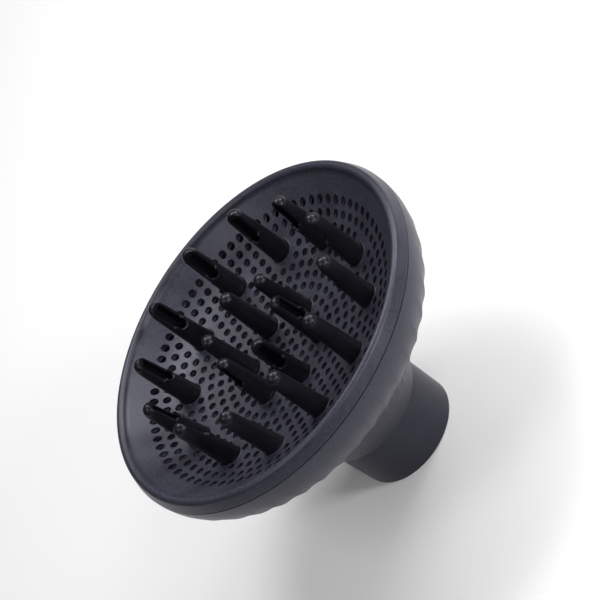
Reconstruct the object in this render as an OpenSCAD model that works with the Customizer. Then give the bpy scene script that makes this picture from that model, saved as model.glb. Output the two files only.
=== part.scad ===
// Hair dryer diffuser: a perforated bowl with two rings of hollow scoop
// fingers, a fluted rear shell and a push-on neck with a soft grip sleeve.
// +Z runs along the diffuser axis. The fingers point up and the neck points
// down. The origin is the centre of the open end of the neck. Units: mm.

/* [Overall] */
// Height of the centre of the perforated plate above the neck end
plate_z = 76; // [60:1:95]
// Radius of the parting line between bowl and shell (widest point)
body_r = 84; // [70:0.5:100]
// Wall thickness of bowl and shell
wall = 2; // [1.5:0.1:3]

/* [Perforations] */
// Spacing between the hole rings, also the ring step
ring_pitch = 5.235; // [4.5:0.005:6]
// Number of hole rings round the centre hole
ring_count = 13; // [10:1:14]
// Diameter of the inner holes
hole_d = 3.4; // [2.5:0.1:4]
// Diameter of the holes in the outermost ring
rim_hole_d = 3.6; // [2.5:0.1:4.2]
// Holes closer than this to a finger axis are left out
finger_clear_r = 7; // [6.2:0.1:9]

/* [Fingers] */
// Fingers in the outer circle
outer_count = 12; // [8:1:14]
// Radius of the outer finger circle
outer_circle_r = 52.1; // [45:0.1:58]
// Length of an outer finger above the plate
outer_len = 32.3; // [24:0.1:40]
// Fingers in the inner circle
inner_count = 6; // [4:1:7]
// Radius of the inner finger circle
inner_circle_r = 20.3; // [16:0.1:26]
// Length of an inner finger above the plate
inner_len = 29.7; // [22:0.1:38]
// Radius of a finger where it leaves the plate
finger_base_r = 5.05; // [4.5:0.05:6]
// Radius of the rounded finger tip
finger_tip_r = 3.75; // [3:0.05:4.5]
// Wall of a finger
finger_wall = 1.15; // [0.9:0.05:1.6]
// Share of the finger length below the scoop opening
scoop_start = 0.44; // [0.35:0.01:0.5]
// Share of the finger length below the straight part of the scoop
scoop_step = 0.54; // [0.45:0.01:0.65]
// Width of the scoop opening
scoop_w = 4.4; // [3.8:0.1:5.2]
// Outward lean of the outer fingers
outer_lean = 3; // [0:0.5:5]

/* [Rear shell] */
// Number of flutes
flute_count = 45; // [24:1:60]
// Depth of a flute at the shoulder
flute_depth = 0.75; // [0.4:0.05:1]
// Radius of the flute cross section
flute_r = 25; // [12:1:30]
// Turn of the flute ridges about the axis
flute_phase = 4.3; // [0:0.1:8]

/* [Neck] */
// Height of the join between neck and shell
neck_top_z = 26; // [20:0.5:32]
// Outside radius of the neck at its open end
neck_end_r = 25.4; // [22:0.1:30]
// Inside radius of the grip sleeve (dryer nozzle radius)
nozzle_r = 22.9; // [20:0.1:27]
// Length of the grip sleeve
sleeve_len = 23.5; // [15:0.5:25]

/* [Hidden] */
$fn = 96;
eps = 0.01;

// Dish: a shallow sphere, then a tighter arc, then a straight wall to the lip
dish_low = 0.7;                       // front face of the plate at the axis
dish_r = 250;                         // radius of the shallow sphere
sphere_rings = 9;                     // hole rings on the sphere
dish_turn_r = ring_pitch * (sphere_rings + 0.5);
dish_turn_a = asin(dish_turn_r / dish_r);
dish_turn_z = dish_low + dish_r * (1 - cos(dish_turn_a));
dish_arc_r = 56;                      // radius of the tighter arc
wall_start_r = ring_pitch * (ring_count + 0.5);
function dish_a(r) =
    r <= dish_turn_r ? asin(r / dish_r)
    : asin((min(r, wall_start_r) - dish_turn_r) / dish_arc_r + sin(dish_turn_a));
function dish_z(r) =
    r <= dish_turn_r ? dish_low + dish_r * (1 - cos(dish_a(r)))
    : r < wall_start_r
        ? dish_turn_z + dish_arc_r * (cos(dish_turn_a) - cos(dish_a(r)))
        : dish_z(wall_start_r - eps) + (r - wall_start_r) * tan(dish_a(r));

lip_in_r = 78.4;                      // inner edge of the rounded lip
lip_r = 2.3;                          // radius of the lip bead
lip_c_r = 80.45;                      // centre circle of the lip bead
lip_c_z = 20.1;
skirt_z = 16.6;                       // lower edge of the skirt above the plate
seam_gap = 0.35;                      // width of the parting line
skirt_t = 1.8;
tongue_t = 1.2;                       // shell tongue inside the skirt
tongue_h = 2.6;
fit_gap = 0.05;

// Rear shell profile: rim arc, shoulder arc, short cone, bell arc, long cone
rim_arc_r = 23;
rim_c_r = body_r - rim_arc_r;
rim_c_z = 15.4;
rim_a = 25;                           // angle where the rim arc meets the shoulder
rim_inner_a = 8;                      // inner rim arc starts at this angle
shoulder_r = 33;
shoulder_c_r = rim_c_r - (shoulder_r - rim_arc_r) * cos(rim_a);
shoulder_c_z = rim_c_z + (shoulder_r - rim_arc_r) * sin(rim_a);
shoulder_a = 66;                      // angle where the shoulder arc ends
back_len = 1;                         // short cone after the shoulder
bell_r = 57.3;
bell_a = 35;                          // angle of the long cone from the axis
shoulder_end = [shoulder_c_r + shoulder_r * cos(shoulder_a),
                shoulder_c_z - shoulder_r * sin(shoulder_a)];
bell_start = [shoulder_end[0] - back_len * sin(shoulder_a),
              shoulder_end[1] - back_len * cos(shoulder_a)];
bell_c = [bell_start[0] + bell_r * cos(shoulder_a),
          bell_start[1] - bell_r * sin(shoulder_a)];
bell_end = [bell_c[0] - bell_r * cos(bell_a), bell_c[1] + bell_r * sin(bell_a)];
join_z = neck_top_z - plate_z;        // join with the neck in plate heights
cone_end = [bell_end[0] - (bell_end[1] - join_z) * tan(bell_a), join_z];
arc_step = 5;

// Neck
neck_join_r = 26.4;
sleeve_t = 1.1;
collar_bore_r = nozzle_r + sleeve_t;
spigot_r = 24.95;
spigot_h = 6;
stop_r = 21.9;
stop_z = 25;
end_round = 0.8;
sleeve_z = 1.2;

// Fingers
scoop_low_x = 2.2;                    // scoop face from the axis, lower end
scoop_top_x = 1.5;                    // and at the tip
tip_solid = 2.5;                      // solid length at the tip
boss_r = 6.4;
boss_drop = 3.3;                      // boss face below the plate at the finger
flange_r = 6.1;
flange_t = 1.2;
slope_start = 0.41;                   // share of the length where the scoop slope begins
lean_z = 1.4;                         // height above the plate where the lean begins

function ring_n(k) = k == 0 ? 1 : 6 * k;
function near_outer(x, y) = min([for (m = [0:outer_count - 1])
    norm([x, y] - outer_circle_r * [cos(360 * m / outer_count), sin(360 * m / outer_count)])]);
function near_inner(x, y) = min([for (m = [0:inner_count - 1])
    norm([x, y] - inner_circle_r * [cos(360 * m / inner_count), sin(360 * m / inner_count)])]);
function is_hole(x, y) =
    near_outer(x, y) > finger_clear_r && near_inner(x, y) > finger_clear_r;
function arc(c, r, a0, a1) = [for (i = [0:round(abs(a1 - a0) / arc_step)])
    let (a = a0 + (a1 - a0) * i / round(abs(a1 - a0) / arc_step)) c + r * [cos(a), sin(a)]];

// The dish is a row of spheres centred on the axis, one per outer hole ring,
// so a hole square to its sphere stays round. Each zone's wall is set so that
// its back face meets the back face of the zone inside it.
function zone_edge(k) = ring_pitch * (k + 0.5);
function zone_c(k) = k <= sphere_rings ? dish_low + dish_r
    : let (r1 = zone_edge(k - 1), r2 = zone_edge(k), z1 = dish_z(r1), z2 = dish_z(r2))
      (r2 * r2 + z2 * z2 - r1 * r1 - z1 * z1) / (2 * (z2 - z1));
function zone_r(k) = k <= sphere_rings ? dish_r
    : norm([zone_edge(k), zone_c(k) - dish_z(zone_edge(k))]);
function zone_back(k, r) = zone_c(k) - sqrt(pow(zone_r(k) + zone_t(k), 2) - r * r);
function zone_t(k) = k <= sphere_rings ? wall
    : norm([zone_edge(k - 1), zone_c(k) - zone_back(k - 1, zone_edge(k - 1))]) - zone_r(k);

module bowl_profile() {
    wall_a = dish_a(wall_start_r);
    back_top = [lip_c_r - 1.1, dish_z(lip_c_r - 1.1) - wall / cos(wall_a)];
    polygon([
        [wall_start_r, zone_back(ring_count, wall_start_r)],
        [wall_start_r, dish_z(wall_start_r)], [lip_in_r, dish_z(lip_in_r)],
        [lip_c_r, lip_c_z + lip_r], [lip_c_r + lip_r, lip_c_z],
        [body_r, skirt_z], [body_r - skirt_t, skirt_z],
        [lip_c_r + 0.75, lip_c_z - 0.6], [lip_c_r + 0.2, lip_c_z - 0.3], back_top]);
    translate([lip_c_r, lip_c_z]) circle(r = lip_r);
    dish_zone(0, dish_turn_r, sphere_rings);
    for (k = [sphere_rings + 1:ring_count])
        dish_zone(zone_edge(k - 1), zone_edge(k), k);
}

// Piece of the dish between two radii, cut from the sphere of its hole ring
module dish_zone(r_in, r_out, k) {
    intersection() {
        translate([0, zone_c(k)]) difference() {
            circle(r = zone_r(k) + zone_t(k), $fn = 1440);
            circle(r = zone_r(k), $fn = 1440);
        }
        translate([r_in, dish_z(r_in) - 2 * wall])
            square([r_out - r_in, dish_z(r_out) - dish_z(r_in) + 3 * wall]);
    }
}

// Flat-faced boss behind the plate that seats one finger flange
module finger_boss(circle_r) {
    front = dish_z(circle_r - boss_r) - 0.4;
    low = dish_z(circle_r) - boss_drop;
    translate([circle_r, 0, low]) cylinder(h = front - low, r = boss_r);
}

// Hole square to the sphere of its ring
module plate_hole(k, a) {
    d = k == ring_count ? rim_hole_d : hole_d;
    translate([0, 0, zone_c(k)])
        rotate([0, 180 - asin(ring_pitch * k / zone_r(k)), a])
            translate([0, 0, zone_r(k) - wall]) cylinder(h = 3 * wall, d = d, $fn = 32);
}

module front_bowl() {
    color("dimgray") translate([0, 0, plate_z]) difference() {
        union() {
            rotate_extrude() bowl_profile();
            for (m = [0:outer_count - 1]) rotate(360 * m / outer_count)
                finger_boss(outer_circle_r);
            for (m = [0:inner_count - 1]) rotate(360 * m / inner_count)
                finger_boss(inner_circle_r);
        }
        for (k = [0:ring_count]) for (i = [0:ring_n(k) - 1]) {
            a = 360 * i / ring_n(k);
            p = ring_pitch * k * [cos(a), sin(a)];
            if (is_hole(p[0], p[1])) plate_hole(k, a);
        }
        for (m = [0:outer_count - 1]) rotate(360 * m / outer_count)
            translate([outer_circle_r, 0, 0]) cylinder(h = 20, r = finger_base_r + fit_gap);
        for (m = [0:inner_count - 1]) rotate(360 * m / inner_count)
            translate([inner_circle_r, 0, -6]) cylinder(h = 20, r = finger_base_r + fit_gap);
    }
}

// Upper part of a finger from height lean_z up, leaning away from +X
module lean(angle) {
    translate([0, 0, lean_z]) rotate([0, -angle, 0]) translate([0, 0, -lean_z]) children();
}

// One finger standing on z = 0 with its scoop opening toward +X
module finger(len, angle) {
    slot_r = scoop_w / 2;
    slot_z = len * scoop_start + slot_r;
    step_z = len * scoop_step;
    slope_z = len * slope_start;
    bore_low_r = finger_base_r - finger_wall;
    bore_top_r = finger_tip_r - finger_wall;
    tip_z = len - finger_tip_r;
    bore_top_z = len - tip_solid;
    lip_r = slot_r + 0.9;
    difference() {
        union() {
            lean(angle) difference() {
                union() {
                    difference() {
                        cylinder(h = tip_z, r1 = finger_base_r, r2 = finger_tip_r);
                        translate([-finger_base_r - 1, -finger_base_r - 1, -1])
                            cube([2 * finger_base_r + 2, 2 * finger_base_r + 2, 1 + lean_z]);
                    }
                    translate([0, 0, tip_z]) sphere(r = finger_tip_r);
                }
                // face of the scoop: a short slope, then almost straight up
                translate([0, finger_base_r + 1, 0]) rotate([90, 0, 0])
                    linear_extrude(2 * finger_base_r + 2)
                        polygon([[finger_base_r + 0.2, slope_z],
                                 [scoop_low_x, step_z], [scoop_top_x, len + 1],
                                 [finger_base_r + 5, len + 1], [finger_base_r + 5, slope_z]]);
            }
            // raised lip round the lower end of the opening
            lean(angle) intersection() {
                translate([0, 0, slot_z]) rotate([0, 90, 0])
                    cylinder(h = finger_base_r, r = lip_r, $fn = 48);
                translate([0, -lip_r, slot_z - lip_r - 0.5])
                    cube([finger_base_r, 2 * lip_r, lip_r + 0.5]);
                cylinder(h = len, r1 = finger_base_r + 0.3, r2 = finger_tip_r + 0.3);
            }
            // shank and flange behind the plate
            translate([0, 0, -boss_drop - fit_gap])
                cylinder(h = boss_drop + fit_gap + lean_z, r = finger_base_r);
            translate([0, 0, -boss_drop - fit_gap - flange_t])
                cylinder(h = flange_t, r = flange_r);
        }
        // air bore
        translate([0, 0, -boss_drop - flange_t - 1])
            cylinder(h = boss_drop + flange_t + 1 + lean_z, r = bore_low_r);
        lean(angle) translate([0, 0, lean_z - 0.3])
            cylinder(h = bore_top_z - lean_z + 0.3, r1 = bore_low_r, r2 = bore_top_r);
        // scoop opening with a rounded lower end
        lean(angle) translate([0, 0, slot_z]) rotate([0, 90, 0])
            cylinder(h = finger_base_r + 1, r = slot_r, $fn = 48);
        lean(angle) translate([0, -slot_r, slot_z])
            cube([finger_base_r + 1, scoop_w, step_z + slot_r - slot_z]);
    }
}

module outer_finger(m) {
    color("black") rotate(360 * (m - 1) / outer_count)
        translate([outer_circle_r, 0, plate_z + dish_z(outer_circle_r)])
            rotate(180) finger(outer_len, outer_lean);
}

module inner_finger(m) {
    color("black") rotate(360 * (m - 1) / inner_count)
        translate([inner_circle_r, 0, plate_z + dish_z(inner_circle_r)])
            finger(inner_len, 0);
}

module shell_profile() {
    top = skirt_z - seam_gap;
    tongue_r = body_r - skirt_t - fit_gap - 0.1;
    polygon(concat(
        [[body_r, top]],
        arc([rim_c_r, rim_c_z], rim_arc_r, 0, -rim_a),
        arc([shoulder_c_r, shoulder_c_z], shoulder_r, -rim_a, -shoulder_a),
        arc(bell_c, bell_r, 180 - shoulder_a, 180 - bell_a),
        [cone_end, [spigot_r + fit_gap, join_z], [spigot_r + fit_gap, join_z + spigot_h]],
        [[spigot_r + fit_gap + wall, join_z + spigot_h]],
        arc(bell_c, bell_r + wall, 180 - bell_a, 180 - shoulder_a),
        arc([shoulder_c_r, shoulder_c_z], shoulder_r - wall, -shoulder_a, -rim_a),
        arc([rim_c_r, rim_c_z], rim_arc_r - wall, -rim_a, -rim_inner_a),
        [[tongue_r - tongue_t, top - 1.5]],
        [[tongue_r - tongue_t - 0.5, top + tongue_h], [tongue_r - 0.5, top + tongue_h]],
        [[tongue_r, top]]));
}

// One flute: a ring-shaped gouge wider than the shoulder arc, so it is deepest
// in the middle of the shoulder and fades out at both ends
module shoulder_flute() {
    mid_a = 42;
    shift = 10.3;
    low_a = 66;
    sweep = 47;
    gouge_r = shoulder_r + shift - flute_depth;
    translate([shoulder_c_r - shift * cos(mid_a), 0, shoulder_c_z + shift * sin(mid_a)])
        rotate([90, 0, 0]) rotate(-low_a) rotate_extrude(angle = sweep)
            translate([gouge_r + flute_r, 0]) circle(r = flute_r);
}

module rear_shell() {
    color("dimgray") translate([0, 0, plate_z]) difference() {
        rotate_extrude() shell_profile();
        for (i = [0:flute_count - 1])
            rotate(flute_phase + 360 * (i + 0.5) / flute_count) shoulder_flute();
    }
}

module neck_collar() {
    color("dimgray") rotate_extrude() {
        polygon([
            [collar_bore_r, 0], [neck_end_r - end_round, 0],
            [neck_end_r - 0.25, 0.25], [neck_end_r, end_round],
            [neck_join_r, neck_top_z - 0.15], [spigot_r, neck_top_z - 0.15],
            [spigot_r, neck_top_z + spigot_h], [stop_r, neck_top_z + spigot_h],
            [stop_r, stop_z], [collar_bore_r, stop_z]]);
    }
}

module grip_sleeve() {
    color("darkslategray") translate([0, 0, sleeve_z]) difference() {
        cylinder(h = sleeve_len, r = collar_bore_r - fit_gap);
        translate([0, 0, -1]) cylinder(h = sleeve_len + 2, r = nozzle_r);
    }
}

front_bowl();
outer_finger(1);  // outer_finger_01
outer_finger(2);  // outer_finger_02
outer_finger(3);  // outer_finger_03
outer_finger(4);  // outer_finger_04
outer_finger(5);  // outer_finger_05
outer_finger(6);  // outer_finger_06
outer_finger(7);  // outer_finger_07
outer_finger(8);  // outer_finger_08
outer_finger(9);  // outer_finger_09
outer_finger(10);  // outer_finger_10
outer_finger(11);  // outer_finger_11
outer_finger(12);  // outer_finger_12
inner_finger(1);  // inner_finger_01
inner_finger(2);  // inner_finger_02
inner_finger(3);  // inner_finger_03
inner_finger(4);  // inner_finger_04
inner_finger(5);  // inner_finger_05
inner_finger(6);  // inner_finger_06
rear_shell();
neck_collar();
grip_sleeve();
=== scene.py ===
import math

import bpy
import numpy as np
from mathutils import Matrix, Vector
from mathutils.geometry import delaunay_2d_cdt


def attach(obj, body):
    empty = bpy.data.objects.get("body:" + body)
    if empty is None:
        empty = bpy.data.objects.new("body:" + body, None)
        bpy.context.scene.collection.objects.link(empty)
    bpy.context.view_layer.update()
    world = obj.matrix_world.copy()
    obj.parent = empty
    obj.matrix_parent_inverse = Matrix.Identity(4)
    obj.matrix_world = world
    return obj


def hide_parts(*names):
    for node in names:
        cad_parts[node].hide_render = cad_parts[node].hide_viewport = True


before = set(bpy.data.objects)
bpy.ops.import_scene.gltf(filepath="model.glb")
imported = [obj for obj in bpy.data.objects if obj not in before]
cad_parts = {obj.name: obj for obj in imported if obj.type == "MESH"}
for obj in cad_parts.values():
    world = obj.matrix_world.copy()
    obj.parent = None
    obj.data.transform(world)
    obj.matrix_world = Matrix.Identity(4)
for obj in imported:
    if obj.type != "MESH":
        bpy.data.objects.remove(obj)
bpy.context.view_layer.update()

# ---------------------------------------------------------------------------
# Sizes in millimetres. The shapes follow the CAD part, with finer rounds
# ---------------------------------------------------------------------------
MM = 0.001
BODY_R = 84.0
WALL = 2.0
PLATE_Z = 76.0          # the height that the dish is drawn from
SKIRT_Z = 16.6          # the skirt's end, above the plate
SEAM = 0.35             # open line between skirt and shell

# holes: ring k has 6k holes at k pitches from the axis
PITCH, RINGS = 5.235, 13
HOLE_R, RIM_HOLE_R = 1.7, 1.76
CLEAR_R = 7.0           # no hole this near to a finger's axis

# dish: a shallow sphere, an arc that turns it up, then a straight wall
DISH_LOW, DISH_R, DISH_ARC = 0.7, 250.0, 56.0
TURN_R = PITCH * 9.5
WALL_R = PITCH * 13.5
TURN_A = math.asin(TURN_R / DISH_R)
TURN_Z = DISH_LOW + DISH_R * (1 - math.cos(TURN_A))
LIP_C, LIP_R = (80.45, 20.1), 2.3
LIP_FILLET = 5.0

# fingers
OUTER_N, OUTER_R, OUTER_LEN = 12, 52.1, 32.3
INNER_N, INNER_R, INNER_LEN = 6, 20.3, 29.7
OUTER_LEAN = math.radians(3.0)
LEAN_Z = 1.4            # the lean begins this far above the plate
BASE_R, TIP_R, FINGER_WALL = 5.05, 3.75, 1.15
BOSS_DROP, BOSS_R = 3.3, 6.4
FLANGE_R, FLANGE_HALF = 6.1, 0.6
SLOT_R = 2.2
SLOT_START, SLOPE_START, SCOOP_STEP = 0.44, 0.41, 0.54      # shares of the length
SCOOP_LOW_X, SCOOP_TOP_X = 2.2, 1.5
BORE_END = 2.9          # solid tip beyond the bore

# shell and flutes
FLUTES = 45
FLUTE_PHASE = math.radians(4.3)
FLUTE_DEPTH = 0.55      # ridge to valley, where they are deepest
RIM_ARC_R, RIM_ARC_Z, RIM_ARC_A = 23.0, 15.4, 25.0
SHOULDER_R, SHOULDER_A = 33.0, 66.0
BELL_R, BELL_A = 57.3, 35.0

# neck and sleeve
NECK_TOP = 26.0
NECK_END_R, NECK_JOIN_R = 25.4, 26.4
SPIGOT_R, SPIGOT_LEN = 24.95, 6.0
STOP_R, STOP_Z = 21.9, 25.0
NOZZLE_R, SLEEVE_T = 22.9, 1.1
SLEEVE_Z = (1.2, 24.7)

# how finely the bowl is meshed, and its smallest rounds
EDGE_R = 72.2           # the triangulated plate ends here and the rings begin
RIM_N, HOLE_N, SEAT_N = 640, 28, 64
GRID_STEP = 1.55
HOLE_BEVEL, HOLE_RELIEF = 0.09, 0.34
HOLE_TURN = 0.11        # each hole's first point is turned this much on
BEAD_R = BASE_R + 0.75  # foot of the bead round a finger
SOCKET_R = BASE_R + 0.09
FRONT, BACK, EDGE = 1, -1, 0
NET_STEP = 0.2          # grid of the fingers' surface
FLUTE_STEPS = 20


# ---------------------------------------------------------------------------
# Mesh helpers
# ---------------------------------------------------------------------------
def make_object(name, verts, faces, material, nodes):
    """A smooth shaded piece from millimetre points; it stands for CAD nodes."""
    mesh = bpy.data.meshes.new(name)
    mesh.from_pydata([tuple(v) for v in np.asarray(verts) * MM], [], faces)
    mesh.update()
    mesh.polygons.foreach_set("use_smooth", [True] * len(mesh.polygons))
    obj = bpy.data.objects.new(name, mesh)
    bpy.context.scene.collection.objects.link(obj)
    mesh.materials.append(material)
    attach(obj, "root")
    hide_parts(*nodes)
    return obj


def unit_circle(count, phase=0.0):
    t = phase + 2 * math.pi * np.arange(count) / count
    return np.column_stack([np.cos(t), np.sin(t)])


def grid_faces(rows, cols):
    """Quads of rows of points, closed in both directions."""
    faces = []
    for i in range(rows):
        a, b = i * cols, ((i + 1) % rows) * cols
        for j in range(cols):
            k = (j + 1) % cols
            faces.append((a + j, b + j, b + k, a + k))
    return faces


def turned(profile, circle):
    """Points of a profile of (r, z) pairs at every direction of a circle."""
    profile = np.asarray(profile, float)
    verts = np.empty((len(profile), len(circle), 3))
    verts[:, :, :2] = profile[:, 0, None, None] * circle
    verts[:, :, 2] = profile[:, 1, None]
    return verts.reshape(-1, 3)


def revolve(profile, count):
    """A closed profile turned about Z, with the material on its right."""
    return turned(profile, unit_circle(count)), grid_faces(len(profile), count)


def arc(cx, cz, r, a0, a1, steps):
    """Points of an arc, angles in degrees from +r, both ends included."""
    t = np.radians(np.linspace(a0, a1, steps + 1))
    return [(cx + r * math.cos(a), cz + r * math.sin(a)) for a in t]


def line(p, q, steps):
    return [(p[0] + (q[0] - p[0]) * i / steps, p[1] + (q[1] - p[1]) * i / steps)
            for i in range(steps + 1)]


def bearing(v):
    """Direction of a vector in degrees."""
    return math.degrees(math.atan2(v[1], v[0]))


def round_corners(points, radii, steps=5, hold=0.06):
    """A polyline with its inner corners rounded, and a short holding segment
    beside each round so that flat stretches shade flat."""
    out = [tuple(points[0])]
    for i in range(1, len(points) - 1):
        p, r = np.array(points[i], float), radii[i]
        if r <= 0:
            out.append(tuple(p))
            continue
        u = np.array(points[i - 1], float) - p
        v = np.array(points[i + 1], float) - p
        lu, lv = np.linalg.norm(u), np.linalg.norm(v)
        u, v = u / lu, v / lv
        half = math.acos(max(-1.0, min(1.0, float(u @ v)))) / 2
        cut = min(r / math.tan(half), 0.48 * lu, 0.48 * lv)
        r = cut * math.tan(half)
        centre = p + (u + v) / np.linalg.norm(u + v) * (r / math.sin(half))
        start, end = p + u * cut - centre, p + v * cut - centre
        total = math.pi - 2 * half
        if lu > 6 * hold:
            out.append(tuple(p + u * (cut + hold)))
        for k in range(steps + 1):
            w = k / steps
            d = math.sin((1 - w) * total) * start + math.sin(w * total) * end
            out.append(tuple(centre + d / math.sin(total)))
        if lv > 6 * hold:
            out.append(tuple(p + v * (cut + hold)))
    out.append(tuple(points[-1]))
    return out


class Shape:
    """Points and faces gathered row by row; each face is FRONT, BACK or EDGE."""

    def __init__(self):
        self.verts, self.faces, self.sides = [], [], []

    def add(self, xy, z):
        """Adds a row of points and gives their numbers."""
        start = len(self.verts)
        self.verts.extend(np.column_stack([xy, z]).tolist())
        return list(range(start, len(self.verts)))

    def sheet(self, triangles, numbers, side):
        for t in triangles:
            self.faces.append(tuple(numbers[i] for i in t))
            self.sides.append(side)

    def strip(self, a, b):
        """A closed band of quads between two rows of equal length."""
        for i in range(len(a)):
            j = (i + 1) % len(a)
            self.faces.append((a[i], b[i], b[j], a[j]))
            self.sides.append(EDGE)

    def ring(self, previous, xy, z):
        """Adds a row of points and the band that joins it to the row before."""
        row = self.add(xy, z)
        self.strip(previous, row)
        return row


# ---------------------------------------------------------------------------
# Shape of the dish, and where its holes and fingers are
# ---------------------------------------------------------------------------
def dish_a(r):
    """Slope of the dish at a radius, in radians."""
    r = np.asarray(r, float)
    inner = np.arcsin(np.minimum(r, TURN_R) / DISH_R)
    outer = np.arcsin((np.clip(r, TURN_R, WALL_R) - TURN_R) / DISH_ARC + math.sin(TURN_A))
    return np.where(r <= TURN_R, inner, outer)


def dish_z(r):
    """Height of the dish's front at a radius."""
    r = np.asarray(r, float)
    a = dish_a(r)
    low = DISH_LOW + DISH_R * (1 - np.cos(np.arcsin(np.minimum(r, TURN_R) / DISH_R)))
    mid = TURN_Z + DISH_ARC * (math.cos(TURN_A) - np.cos(a))
    z = np.where(r <= TURN_R, low, mid)
    return z + np.maximum(r - WALL_R, 0) * np.tan(a)


def front_z(xy):
    return dish_z(np.linalg.norm(xy, axis=1))


finger_xy = np.vstack([OUTER_R * unit_circle(OUTER_N), INNER_R * unit_circle(INNER_N)])


def from_fingers(xy):
    """Distance from each point to the nearest finger's axis."""
    return np.linalg.norm(xy[:, None] - finger_xy[None], axis=2).min(1)


def hole_table():
    """(x, y, radius) of every hole that is clear of the fingers."""
    rows = []
    for k in range(RINGS + 1):
        pts = PITCH * k * unit_circle(max(6 * k, 1))
        r = RIM_HOLE_R if k == RINGS else HOLE_R
        rows += [(x, y, r) for (x, y), d in zip(pts, from_fingers(pts)) if d > CLEAR_R]
    return np.array(rows)


holes = hole_table()


def from_holes(xy):
    """Distance from each point to the nearest hole's edge."""
    away = np.linalg.norm(xy[:, None] - holes[None, :, :2], axis=2)
    return (away - holes[None, :, 2]).min(1)


# ---------------------------------------------------------------------------
# Front bowl
# ---------------------------------------------------------------------------
def filler_grid():
    """Points of an even triangular grid, clear of every edge of the plate."""
    reach = EDGE_R + 2.8
    gx, gy = np.meshgrid(np.arange(-reach, reach, GRID_STEP),
                         np.arange(-reach, reach, GRID_STEP * 0.866))
    gx = gx + (np.arange(gx.shape[0]) % 2)[:, None] * GRID_STEP / 2
    grid = np.column_stack([gx.ravel(), gy.ravel()])
    keep = np.linalg.norm(grid, axis=1) < EDGE_R - 0.6
    keep &= from_holes(grid) > HOLE_BEVEL + 0.4
    keep &= from_fingers(grid) > BEAD_R + 0.5
    return grid[keep]


def plate_pattern():
    """The plate's flat pattern, triangulated round its holes and finger seats.

    Gives the points, the triangles, and the numbers of the points round the
    rim, round each hole and round each seat."""
    flat, edges = [], []

    def loop(x, y, r, count, phase=0.0):
        start = len(flat)
        flat.extend(map(tuple, (x, y) + r * unit_circle(count, phase)))
        edges.extend((start + i, start + (i + 1) % count) for i in range(count))
        return range(start, start + count)

    rim = loop(0, 0, EDGE_R, RIM_N)
    hole_loops = [loop(x, y, r + HOLE_BEVEL, HOLE_N, HOLE_TURN * i)
                  for i, (x, y, r) in enumerate(holes)]
    seat_loops = [loop(x, y, BEAD_R, SEAT_N) for x, y in finger_xy]
    flat.extend(map(tuple, filler_grid()))
    out = delaunay_2d_cdt([Vector(p) for p in flat], edges, [], 0, 1e-5)
    pts = np.array([tuple(v) for v in out[0]])
    number = {old: new for new, olds in enumerate(out[3]) for old in olds}

    tris = np.array([f for f in out[2] if len(f) == 3])
    mid = pts[tris].mean(1)
    solid = np.linalg.norm(mid, axis=1) < EDGE_R
    solid &= from_holes(mid) > HOLE_BEVEL * 0.9
    solid &= from_fingers(mid) > BEAD_R - 0.02
    tris = tris[solid]
    e1, e2 = pts[tris[:, 1]] - pts[tris[:, 0]], pts[tris[:, 2]] - pts[tris[:, 0]]
    turn = e1[:, 0] * e2[:, 1] - e1[:, 1] * e2[:, 0]
    tris[turn < 0] = tris[turn < 0][:, ::-1]

    def renumber(old):
        return [number[i] for i in old]

    return (pts, tris, renumber(rim), [renumber(h) for h in hole_loops],
            [renumber(s) for s in seat_loops])


def bore_hole(shape, centre, r, unit, top, low):
    """Wall of one hole along Z: rounded front edge, short land, wider back."""
    row = top
    for a in np.radians((35, 65, 90)):
        xy = centre + unit * (r + HOLE_BEVEL * (1 - math.sin(a)))
        row = shape.ring(row, xy, front_z(xy) - HOLE_BEVEL * (1 - math.cos(a)))
    for wider, drop in ((0, 0.5), (HOLE_RELIEF, 0.95)):
        xy = centre + unit * (r + wider)
        row = shape.ring(row, xy, front_z(xy) - drop)
    shape.strip(row, low)


def seat_finger(shape, centre, unit, top, low):
    """Low bead round one finger, its socket, and the boss behind the plate."""
    bead = ((0.66, 0.05), (0.56, 0.16), (0.42, 0.22), (0.28, 0.19), (0.17, 0.08), (0.11, -0.12))
    row = top
    for wider, height in bead:
        xy = centre + unit * (BASE_R + wider)
        row = shape.ring(row, xy, front_z(xy) + height)
    xy = centre + unit * SOCKET_R
    row = shape.ring(row, xy, front_z(xy) - 1.8)
    boss_z = float(dish_z(math.hypot(*centre))) - BOSS_DROP
    for r, z in ((SOCKET_R, boss_z), (BOSS_R - 0.3, boss_z), (BOSS_R, boss_z + 0.3)):
        row = shape.ring(row, centre + unit * r, np.full(len(unit), z))
    # boss and plate run into each other and end inside the plate
    xy = centre + unit * BOSS_R
    shape.ring(row, xy, front_z(xy) - 0.8)
    xy = centre + unit * BEAD_R
    shape.strip(shape.add(xy, front_z(xy) - 0.8), low)


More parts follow.
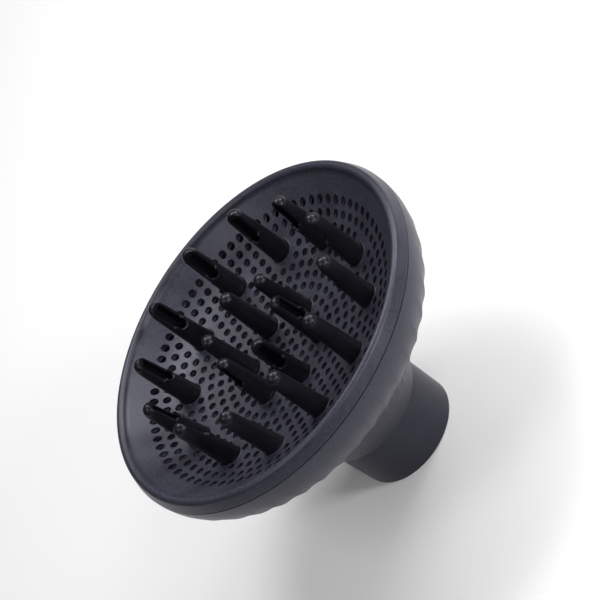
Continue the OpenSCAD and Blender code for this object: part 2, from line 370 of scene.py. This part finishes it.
def rim_profile():
    """(r, z) from the plate's edge up the wall, over lip and skirt, and back."""
    slope = float(dish_a(WALL_R))
    foot = np.array([WALL_R, float(dish_z(WALL_R))])
    along = np.array([math.cos(slope), math.sin(slope)])
    up = np.array([-math.sin(slope), math.cos(slope)])
    bead = np.array(LIP_C)
    # the fillet touches the straight wall and the round bead of the lip
    q = foot + up * LIP_FILLET - bead
    s = -(q @ along) - math.sqrt((q @ along) ** 2 - q @ q + (LIP_R + LIP_FILLET) ** 2)
    centre = foot + along * s + up * LIP_FILLET
    d = bead - centre
    start = (EDGE_R, float(dish_z(EDGE_R)))
    profile = line(start, foot + along * (s - 0.05), 8)
    profile += arc(*centre, LIP_FILLET, bearing(-up), bearing(d), 9)
    corner = np.array([BODY_R, SKIRT_Z + 0.45])
    to_corner = corner - bead
    bead_end = bearing(to_corner) + math.degrees(math.acos(LIP_R / np.linalg.norm(to_corner)))
    profile += arc(*bead, LIP_R, bearing(-d) - 1, bead_end, 26)
    inner_top = LIP_C[0] - 1.1
    wall_back = WALL / math.cos(slope)
    outline = [profile[-1], tuple(corner), (BODY_R, SKIRT_Z), (BODY_R - 1.8, SKIRT_Z),
               (LIP_C[0] + 0.75, LIP_C[1] - 0.6), (LIP_C[0] + 0.1, LIP_C[1] - 0.3),
               (inner_top, float(dish_z(inner_top)) - wall_back),
               (EDGE_R, float(dish_z(EDGE_R)) - wall_back)]
    return profile + round_corners(outline, [0, 1.5, 0.3, 0.3, 0.4, 0.4, 0.4, 0])[1:]


def set_plate_normals(obj, shape, verts):
    """Exact normals on the plate's two faces, so that its triangles don't show."""
    mesh = obj.data
    normals = np.empty((len(mesh.vertices), 3), np.float32)
    mesh.vertex_normals.foreach_get("vector", normals.ravel())
    loop_vert = np.empty(len(mesh.loops), np.int32)
    mesh.loops.foreach_get("vertex_index", loop_vert)
    side = np.repeat(shape.sides, [len(f) for f in shape.faces])
    v = verts[loop_vert]
    rad = np.hypot(v[:, 0], v[:, 1])
    slope = dish_a(rad)
    unit = v[:, :2] / np.maximum(rad, 1e-6)[:, None]
    exact = np.column_stack([-unit * np.sin(slope)[:, None], np.cos(slope)])
    on_front = np.abs(v[:, 2] - PLATE_Z - dish_z(rad)) < 1e-3
    use = (side == FRONT) | ((side == EDGE) & on_front & (rad < EDGE_R + 0.01))
    split = normals[loop_vert]
    split[use] = exact[use]
    split[side == BACK] = -exact[side == BACK]
    mesh.normals_split_custom_set(split)


def build_bowl(material):
    pts, tris, rim, hole_loops, seat_loops = plate_pattern()
    shape = Shape()
    z_front = front_z(pts)
    z_back = z_front - WALL / np.cos(dish_a(np.linalg.norm(pts, axis=1)))
    back_pts = pts.copy()
    for (x, y, r), ids in zip(holes, hole_loops):
        back_pts[ids] = (x, y) + (pts[ids] - (x, y)) * ((r + HOLE_RELIEF) / (r + HOLE_BEVEL))
    front = shape.add(pts, z_front)
    back = shape.add(back_pts, z_back)
    shape.sheet(tris, front, FRONT)
    shape.sheet(tris[:, ::-1], back, BACK)

    for i, ((x, y, r), ids) in enumerate(zip(holes, hole_loops)):
        bore_hole(shape, np.array([x, y]), r, unit_circle(HOLE_N, HOLE_TURN * i),
                  [front[j] for j in ids], [back[j] for j in ids])
    for centre, ids in zip(finger_xy, seat_loops):
        seat_finger(shape, centre, unit_circle(SEAT_N),
                    [front[j] for j in ids], [back[j] for j in ids])
    row = [front[j] for j in rim]
    for r, z in rim_profile()[1:-1]:
        row = shape.ring(row, r * unit_circle(RIM_N), np.full(RIM_N, z))
    shape.strip(row, [back[j] for j in rim])

    verts = np.array(shape.verts) + (0, 0, PLATE_Z)
    obj = make_object("bowl", verts, shape.faces, material, ["front_bowl"])
    set_plate_normals(obj, shape, verts)


# ---------------------------------------------------------------------------
# Fingers: a distance field meshed with surface nets
# ---------------------------------------------------------------------------
def smooth_max(a, b, k):
    h = np.clip(0.5 - 0.5 * (b - a) / k, 0, 1)
    return b * (1 - h) + a * h + k * h * (1 - h)


def smooth_min(a, b, k):
    return -smooth_max(-a, -b, k)


def scoop_face(x, z, length):
    """Flat side of the scoop: a short slope, then nearly along the finger."""
    step_z = length * SCOOP_STEP
    tilt = math.atan2(SCOOP_LOW_X - SCOOP_TOP_X, length - step_z)
    face = (x - SCOOP_LOW_X) * math.cos(tilt) + (z - step_z) * math.sin(tilt)
    run = step_z - length * SLOPE_START
    out = BASE_R + 0.2 - SCOOP_LOW_X
    slope = ((x - SCOOP_LOW_X) * run + (z - step_z) * out) / math.hypot(run, out)
    return smooth_min(face, slope, 0.8)


def finger_field(length, lean):
    """Nearly the distance from a finger's surface. It stands along Z with its
    scoop toward +X, and leans toward -X."""
    slot_z = length * SLOT_START + SLOT_R
    tip_z = length - TIP_R
    flange_z = -BOSS_DROP - 0.05
    taper = (BASE_R - TIP_R) / tip_z
    c, s = math.cos(lean), math.sin(lean)

    def field(wx, y, wz):
        # upper part, in its own leaning axes
        x = wx * c + (wz - LEAN_Z) * s
        z = -wx * s + (wz - LEAN_Z) * c + LEAN_Z
        rho = np.hypot(x, y)
        skin = BASE_R - taper * np.clip(z, 0, tip_z)
        side = (rho - skin) * math.cos(math.atan(taper))
        tip = np.sqrt(rho ** 2 + (z - tip_z) ** 2) - TIP_R
        body = np.where(z > tip_z, tip, side)
        body = smooth_max(body, scoop_face(x, z, length), 0.4)
        # raised hoop round the lower end of the opening
        from_slot = np.hypot(y, np.minimum(z - slot_z, 0))
        above = np.maximum(z - slot_z, 0)
        ring = np.hypot(from_slot - (SLOT_R + 0.62), above * 0.7)
        hoop = np.sqrt((ring / 1.25) ** 2 + (rho - skin + 0.17) ** 2) - 0.56
        body = smooth_min(body, np.where(x > 0, hoop, 9.0), 0.3)
        body = np.maximum(body, LEAN_Z * 0.5 - z)
        # upright shank and flange behind the plate
        wrho = np.hypot(wx, y)
        ends = np.maximum(wz - LEAN_Z, flange_z - FLANGE_HALF - wz)
        shank = np.maximum(wrho - BASE_R, ends)
        flange = np.maximum(wrho - FLANGE_R, np.abs(wz - flange_z + FLANGE_HALF) - FLANGE_HALF)
        body = np.minimum(smooth_min(body, shank, 0.15), flange)
        # bore and opening
        bore = smooth_max(rho - (skin - FINGER_WALL), z - (length - BORE_END), 0.3)
        slot = np.maximum(from_slot - SLOT_R, -x)
        slot = np.maximum(slot, z - (length - BORE_END))
        return smooth_max(body, -smooth_min(bore, slot, 0.2), 0.24)

    return field


def slopes(field, pts, reach):
    """Change of the field along each axis, over twice the reach."""
    return np.column_stack([
        field(*(pts + d * reach).T) - field(*(pts - d * reach).T) for d in np.eye(3)])


def net_points(val, inside):
    """One point in every cell that the surface crosses, in cell units, and the
    number of each cell's point."""
    nx, ny, nz = np.array(val.shape) - 1
    total = np.zeros((nx, ny, nz, 3))
    count = np.zeros((nx, ny, nz))
    cell = np.stack(np.meshgrid(np.arange(nx), np.arange(ny), np.arange(nz), indexing="ij"), -1)

    def corner(a, i, j, k):
        return a[i:nx + i, j:ny + j, k:nz + k]

    for axis in range(3):
        other = [n for n in range(3) if n != axis]
        for p in (0, 1):
            for q in (0, 1):
                c0 = [0, 0, 0]
                c0[other[0]], c0[other[1]] = p, q
                c1 = list(c0)
                c1[axis] = 1
                v0, v1 = corner(val, *c0), corner(val, *c1)
                cross = corner(inside, *c0) != corner(inside, *c1)
                pos = cell + np.array(c0, float)
                pos[..., axis] += np.where(cross, v0 / np.where(cross, v0 - v1, 1), 0)
                total += np.where(cross[..., None], pos, 0)
                count += cross
    used = count > 0
    number = -np.ones(count.shape, int)
    number[used] = np.arange(used.sum())
    return total[used] / count[used][:, None], number


def net_quads(inside, number):
    """A quad round every grid edge that the surface crosses."""
    quads = []
    for axis in range(3):
        u, v = [(1, 2), (2, 0), (0, 1)][axis]
        here, there = [slice(1, -1)] * 3, [slice(1, -1)] * 3
        here[axis], there[axis] = slice(0, -1), slice(1, None)
        a, b = inside[tuple(here)], inside[tuple(there)]
        for sign in (True, False):
            base = np.argwhere((a != b) & (a == sign))
            base[:, [u, v]] += 1
            cells = []
            for du, dv in ((0, 0), (1, 0), (1, 1), (0, 1)):
                c = base.copy()
                c[:, u] -= du
                c[:, v] -= dv
                cells.append(number[c[:, 0], c[:, 1], c[:, 2]])
            q = np.column_stack(cells)
            quads.append(q if sign else q[:, ::-1])
    return np.vstack(quads)


def surface_nets(field, low, high, step):
    """Points, normals and quads of the zero surface of a distance field."""
    axes = [np.arange(l, h + step, step) for l, h in zip(low, high)]
    val = field(*np.meshgrid(*axes, indexing="ij"))
    inside = val < 0
    pts, number = net_points(val, inside)
    pts = pts * step + np.array([a[0] for a in axes])
    # draw the points onto the surface
    for _ in range(3):
        f = np.clip(field(*pts.T), -step, step)
        g = slopes(field, pts, step * 0.2) / (step * 0.4)
        pts = pts - 0.8 * f[:, None] * g / np.maximum((g ** 2).sum(1), 0.3)[:, None]
    normals = slopes(field, pts, step * 0.5)
    normals /= np.maximum(np.linalg.norm(normals, axis=1), 1e-9)[:, None]
    return pts, normals, net_quads(inside, number)


def spin(angle):
    """Matrix that turns row vectors about Z."""
    c, s = math.cos(angle), math.sin(angle)
    return np.array([[c, s, 0], [-s, c, 0], [0, 0, 1]])


def build_fingers(material):
    """The outer scoops face the axis and the inner ones face outward."""
    side = FLANGE_R + 0.5
    for kind, count, circle_r, length, lean, turn in (
            ("outer", OUTER_N, OUTER_R, OUTER_LEN, OUTER_LEAN, math.pi),
            ("inner", INNER_N, INNER_R, INNER_LEN, 0.0, 0.0)):
        pts, normals, quads = surface_nets(finger_field(length, lean), (-side, -side, -BOSS_DROP - 2.0),
                                           (side, side, length + 0.6), NET_STEP)
        faces = quads.tolist()
        pts = pts @ spin(turn) + (circle_r, 0, PLATE_Z + float(dish_z(circle_r)))
        normals = normals @ spin(turn)
        for i in range(count):
            place = spin(2 * math.pi * i / count)
            node = "%s_finger_%02d" % (kind, i + 1)
            obj = make_object(node + "_moulded", pts @ place, faces, material,
                              [node])
            obj.data.normals_split_custom_set_from_vertices((normals @ place).tolist())


# ---------------------------------------------------------------------------
# Rear shell with its flutes
# ---------------------------------------------------------------------------
def build_shell(material):
    top = SKIRT_Z - SEAM
    join = NECK_TOP - PLATE_Z
    rim_a, sh_a, bell_a = (math.radians(a) for a in (RIM_ARC_A, SHOULDER_A, BELL_A))
    # centres of the three arcs, each tangent to the one before
    rim_c = (BODY_R - RIM_ARC_R, RIM_ARC_Z)
    grow = SHOULDER_R - RIM_ARC_R
    sh_c = (rim_c[0] - grow * math.cos(rim_a), rim_c[1] + grow * math.sin(rim_a))
    sh_end = (sh_c[0] + SHOULDER_R * math.cos(sh_a), sh_c[1] - SHOULDER_R * math.sin(sh_a))
    bell_start = (sh_end[0] - math.sin(sh_a), sh_end[1] - math.cos(sh_a))
    bell_c = (bell_start[0] + BELL_R * math.cos(sh_a), bell_start[1] - BELL_R * math.sin(sh_a))
    bell_end = (bell_c[0] - BELL_R * math.cos(bell_a), bell_c[1] + BELL_R * math.sin(bell_a))
    cone_r = bell_end[0] - (bell_end[1] - join) * math.tan(bell_a)
    outer = arc(BODY_R - 0.3, top - 0.3, 0.3, 90, 0, 5)
    outer += [(BODY_R, top - 0.45)]
    outer += arc(*rim_c, RIM_ARC_R, 0, -RIM_ARC_A, 22)
    outer += arc(*sh_c, SHOULDER_R, -RIM_ARC_A, -SHOULDER_A, 48)[1:]
    outer += line(sh_end, bell_start, 2)[1:]
    outer += arc(*bell_c, BELL_R, 180 - SHOULDER_A, 180 - BELL_A, 40)[1:]
    outer += line(bell_end, (cone_r + 0.2, join + 0.3), 26)[1:]
    outer = np.array(outer)

    # flutes: deepest over the shoulder, on down the bell, gone before the neck
    circle = unit_circle(FLUTES * FLUTE_STEPS, FLUTE_PHASE)
    share = (np.arange(len(circle)) % FLUTE_STEPS) / FLUTE_STEPS
    scoop = 1 - (2 * share - 1) ** 2
    fade = np.interp(outer[:, 1], (-42.5, -40, -37, -32, -26, -5, -1, 3, 7, 10, 12.5),
                     (0, 0.04, 0.2, 0.62, 0.8, 1.0, 0.9, 0.58, 0.3, 0.1, 0))
    depth = FLUTE_DEPTH * fade * np.minimum(1, outer[:, 0] / 60)
    d = np.gradient(outer, axis=0)
    normal = np.column_stack([-d[:, 1], d[:, 0]])
    normal /= np.linalg.norm(normal, axis=1)[:, None]
    gouged = outer[:, None] - normal[:, None] * (depth[:, None] * scoop)[..., None]
    verts = np.dstack([gouged[..., :1] * circle, gouged[..., 1] + PLATE_Z]).reshape(-1, 3)

    # inside of the shell, from the neck back up to the tongue
    socket_r = SPIGOT_R + 0.05
    inside = [(cone_r - 0.1, join), (socket_r, join), (socket_r, join + SPIGOT_LEN),
              (socket_r + 2, join + SPIGOT_LEN)]
    inside += arc(*bell_c, BELL_R + WALL, 180 - BELL_A, 180 - SHOULDER_A, 18)
    inside += arc(*sh_c, SHOULDER_R - WALL, -SHOULDER_A, -RIM_ARC_A, 14)
    inside += arc(*rim_c, RIM_ARC_R - WALL, -RIM_ARC_A, -8, 8)
    tongue_r = BODY_R - 1.8 - 0.15
    inside += [(tongue_r - 1.2, top - 1.5), (tongue_r - 1.7, top + 2.6),
               (tongue_r - 0.5, top + 2.6), (tongue_r, top)]
    lining = turned(np.array(inside) + (0, PLATE_Z), circle)
    make_object("shell", np.vstack([verts, lining]),
                grid_faces(len(outer) + len(inside), len(circle)),
                material, ["rear_shell"])


# ---------------------------------------------------------------------------
# Neck and the soft sleeve inside it
# ---------------------------------------------------------------------------
def build_neck(material):
    bore = NOZZLE_R + SLEEVE_T
    join = NECK_TOP - 0.15
    start = (NECK_JOIN_R - 0.35, join)
    outline = [start, (NECK_JOIN_R, join), (NECK_END_R, 0.0), (bore, 0.0), (bore, STOP_Z),
               (STOP_R, STOP_Z), (STOP_R, NECK_TOP + SPIGOT_LEN),
               (SPIGOT_R, NECK_TOP + SPIGOT_LEN), (SPIGOT_R, join), start]
    profile = round_corners(outline, [0, 0.25, 0.9, 0.25, 0.2, 0.4, 0.3, 0.3, 0, 0], steps=6)
    verts, faces = revolve(profile[:-1], 256)
    make_object("neck", verts, faces, material, ["neck_collar"])


def build_sleeve(material):
    """Nine low ribs grip the nozzle, with shallow grooves between them."""
    z0, z1 = SLEEVE_Z
    outer = NOZZLE_R + SLEEVE_T - 0.05
    groove_r = NOZZLE_R + 0.35
    count = 9
    pitch = (z1 - z0) / count
    start = (NOZZLE_R + 0.5, z0)
    outline = [start, (NOZZLE_R, z0)]
    for i in range(count):
        z = z0 + pitch * i
        outline += [(NOZZLE_R, z + pitch * 0.62), (groove_r, z + pitch * 0.74),
                    (groove_r, z + pitch * 0.88), (NOZZLE_R, z + pitch)]
    outline += [(outer, z1), (outer, z0), start]
    radii = [0, 0.35] + [0.12] * (len(outline) - 5) + [0.3, 0.3, 0]
    profile = round_corners(outline, radii, steps=3)[:-1]
    verts, faces = revolve(profile[::-1], 224)
    make_object("sleeve", verts, faces, material, ["grip_sleeve"])


# ---------------------------------------------------------------------------
# Materials
# ---------------------------------------------------------------------------
GRAIN_HEIGHT = 0.00009  # metres


def plastic(name, dark, light, rough, grain, grain_scale, spec, patch=90.0, edge=0.0, mottle=1.0):
    """Moulded plastic: fine grain, cloudy and speckled colour, uneven gloss, and
    convex edges painted lighter where edge is above 0, partly as wear and partly as a painted sheen."""
    mat = bpy.data.materials.new(name)
    mat.use_nodes = True
    nt = mat.node_tree
    bsdf = nt.nodes["Principled BSDF"]
    bsdf.inputs["Specular IOR Level"].default_value = spec
    bsdf.inputs["Specular Tint"].default_value = (0.86, 0.86, 1.0, 1)
    coord = nt.nodes.new("ShaderNodeTexCoord")

    def noise(scale, detail, roughness):
        n = nt.nodes.new("ShaderNodeTexNoise")
        n.inputs["Scale"].default_value = scale
        n.inputs["Detail"].default_value = detail
        n.inputs["Roughness"].default_value = roughness
        nt.links.new(coord.outputs["Object"], n.inputs["Vector"])
        return n.outputs["Fac"]

    def ramp(source, low, high, to_low, to_high):
        r = nt.nodes.new("ShaderNodeMapRange")
        r.inputs["From Min"].default_value = low
        r.inputs["From Max"].default_value = high
        r.inputs["To Min"].default_value = to_low
        r.inputs["To Max"].default_value = to_high
        nt.links.new(source, r.inputs["Value"])
        return r.outputs[0]

    def mix(factor, b):
        m = nt.nodes.new("ShaderNodeMix")
        m.data_type = "RGBA"
        m.inputs["B"].default_value = (*b, 1)
        nt.links.new(factor, m.inputs["Factor"])
        return m

    cloud = noise(patch, 4.0, 0.6)
    speck = noise(grain_scale * 0.55, 3.0, 0.7)
    fine = noise(grain_scale, 5.0, 0.65)
    share = nt.nodes.new("ShaderNodeMath")
    share.operation = "ADD"
    nt.links.new(ramp(cloud, 0.3, 0.7, 0.0, 0.45), share.inputs[0])
    nt.links.new(ramp(speck, 0.32, 0.68, 0.0, 0.55 * mottle), share.inputs[1])
    colour = mix(share.outputs[0], light)
    colour.inputs["A"].default_value = (*dark, 1)
    # lighter convex edges: partly wear, partly a painted sheen standing for edge highlights
    if edge > 0:
        geometry = nt.nodes.new("ShaderNodeNewGeometry")
        wear_and_sheen = mix(ramp(geometry.outputs["Pointiness"], 0.52, 0.60, 0.0, edge),
                   [c * 2.2 for c in light])
        nt.links.new(colour.outputs["Result"], wear_and_sheen.inputs["A"])
        colour = wear_and_sheen
    nt.links.new(colour.outputs["Result"], bsdf.inputs["Base Color"])
    gloss = ramp(speck, 0.3, 0.7, rough - 0.05 * mottle, rough + 0.05 * mottle)
    nt.links.new(gloss, bsdf.inputs["Roughness"])
    bump = nt.nodes.new("ShaderNodeBump")
    bump.inputs["Strength"].default_value = grain
    bump.inputs["Distance"].default_value = GRAIN_HEIGHT
    nt.links.new(fine, bump.inputs["Height"])
    nt.links.new(bump.outputs["Normal"], bsdf.inputs["Normal"])
    return mat


build_bowl(plastic("slate_bowl", (0.018, 0.018, 0.027), (0.038, 0.038, 0.055), rough=0.37,
                   grain=1.0, grain_scale=1700.0, spec=0.46, edge=0.3, mottle=1.9))
build_shell(plastic("slate_shell", (0.014, 0.014, 0.022), (0.034, 0.034, 0.050), rough=0.38,
                    grain=1.0, grain_scale=1700.0, spec=0.46, edge=0.3, mottle=1.9))
# the neck's slate is darker than the bowl's, as painted shade for the shade it gets under the shell
build_neck(plastic("slate_neck_painted_shade", (0.014, 0.014, 0.022), (0.024, 0.024, 0.036), rough=0.38,
                   grain=0.6, grain_scale=1800.0, spec=0.42, edge=0.2))
build_sleeve(plastic("soft_sleeve", (0.012, 0.012, 0.013), (0.020, 0.020, 0.022), rough=0.72,
                     grain=0.5, grain_scale=2200.0, spec=0.3, patch=200.0))
build_fingers(plastic("satin_finger", (0.007, 0.007, 0.0100), (0.011, 0.011, 0.0155), rough=0.32,
                      grain=0.12, grain_scale=2600.0, spec=0.3, patch=160.0, mottle=0.4))

# ---------------------------------------------------------------------------
# Floor, light and camera, in metres
# ---------------------------------------------------------------------------
FLOOR_HALF = 6
CAM_AZ, CAM_EL, CAM_ROLL = (math.radians(a) for a in (-168.09, 34.65, 56.19))
CAM_DIST, CAM_LENS = 1.6528, 229.9
AIM = Vector((18.84, -18.24, PLATE_Z)) * MM
LIGHT_AIM = Vector((0, 0, 0.07))


def add_floor():
    h = FLOOR_HALF
    mesh = bpy.data.meshes.new("floor")
    mesh.from_pydata([(-h, -h, 0), (h, -h, 0), (h, h, 0), (-h, h, 0)], [], [(0, 1, 2, 3)])
    floor = bpy.data.objects.new("floor", mesh)
    bpy.context.scene.collection.objects.link(floor)
    mat = bpy.data.materials.new("pale_floor")
    mat.use_nodes = True
    bsdf = mat.node_tree.nodes["Principled BSDF"]
    bsdf.inputs["Base Color"].default_value = (0.9, 0.9, 0.9, 1)
    bsdf.inputs["Roughness"].default_value = 0.9
    bsdf.inputs["Emission Color"].default_value = (1, 1, 1, 1)
    bsdf.inputs["Emission Strength"].default_value = 0.08
    mesh.materials.append(mat)


def add_world():
    world = bpy.data.worlds.new("studio")
    bpy.context.scene.world = world
    world.use_nodes = True
    background = world.node_tree.nodes["Background"]
    background.inputs["Color"].default_value = (1, 1, 1, 1)
    background.inputs["Strength"].default_value = 0.05


def add_camera():
    """Adds the camera and gives its right, up and backward directions."""
    level = math.cos(CAM_EL)
    back = Vector((math.cos(CAM_AZ) * level, math.sin(CAM_AZ) * level, math.sin(CAM_EL)))
    level_right = Vector((0, 0, 1)).cross(back).normalized()
    level_up = back.cross(level_right)
    up = level_up * math.cos(CAM_ROLL) + level_right * math.sin(CAM_ROLL)
    right = up.cross(back)
    data = bpy.data.cameras.new("camera")
    data.lens = CAM_LENS
    data.sensor_width = 36.0
    data.clip_start, data.clip_end = 0.1, 20
    cam = bpy.data.objects.new("camera", data)
    bpy.context.scene.collection.objects.link(cam)
    turn = Matrix((right, up, back)).transposed().to_4x4()
    cam.matrix_world = Matrix.Translation(AIM + back * CAM_DIST) @ turn
    bpy.context.scene.camera = cam
    return right, up, back


def add_softbox(name, direction, size, power):
    """A square area light one metre from the part, turned toward it."""
    data = bpy.data.lights.new(name, "AREA")
    data.shape = "SQUARE"
    data.size = size
    data.energy = power
    obj = bpy.data.objects.new(name, data)
    bpy.context.scene.collection.objects.link(obj)
    d = direction.normalized()
    obj.location = LIGHT_AIM + d
    obj.rotation_mode = "QUATERNION"
    obj.rotation_quaternion = (-d).to_track_quat("-Z", "Y")
    obj.visible_camera = False


add_floor()
add_world()
right, up, back = add_camera()
for name, r, u, b, size, power in (
        ("key_up_left", -0.7, 0.7, 0.15, 0.35, 4.2),
        ("key_up", 0.0, 1.0, 0.15, 0.35, 3.9),
        ("key_between", -0.38, 0.92, 0.15, 0.35, 1.8),
        ("left_front", -1.0, 0.0, 0.8, 0.35, 1.7),
        ("up_front", 0.0, 1.0, 0.8, 0.35, 1.6),
        ("right_front", 0.5, 0.5, 1.2, 0.2, 3.4),
        ("front", 0.0, 0.0, 1.0, 0.35, 1.6)):
    add_softbox(name, right * r + up * u + back * b, size, power)
bpy.context.scene.view_settings.view_transform = "Standard"
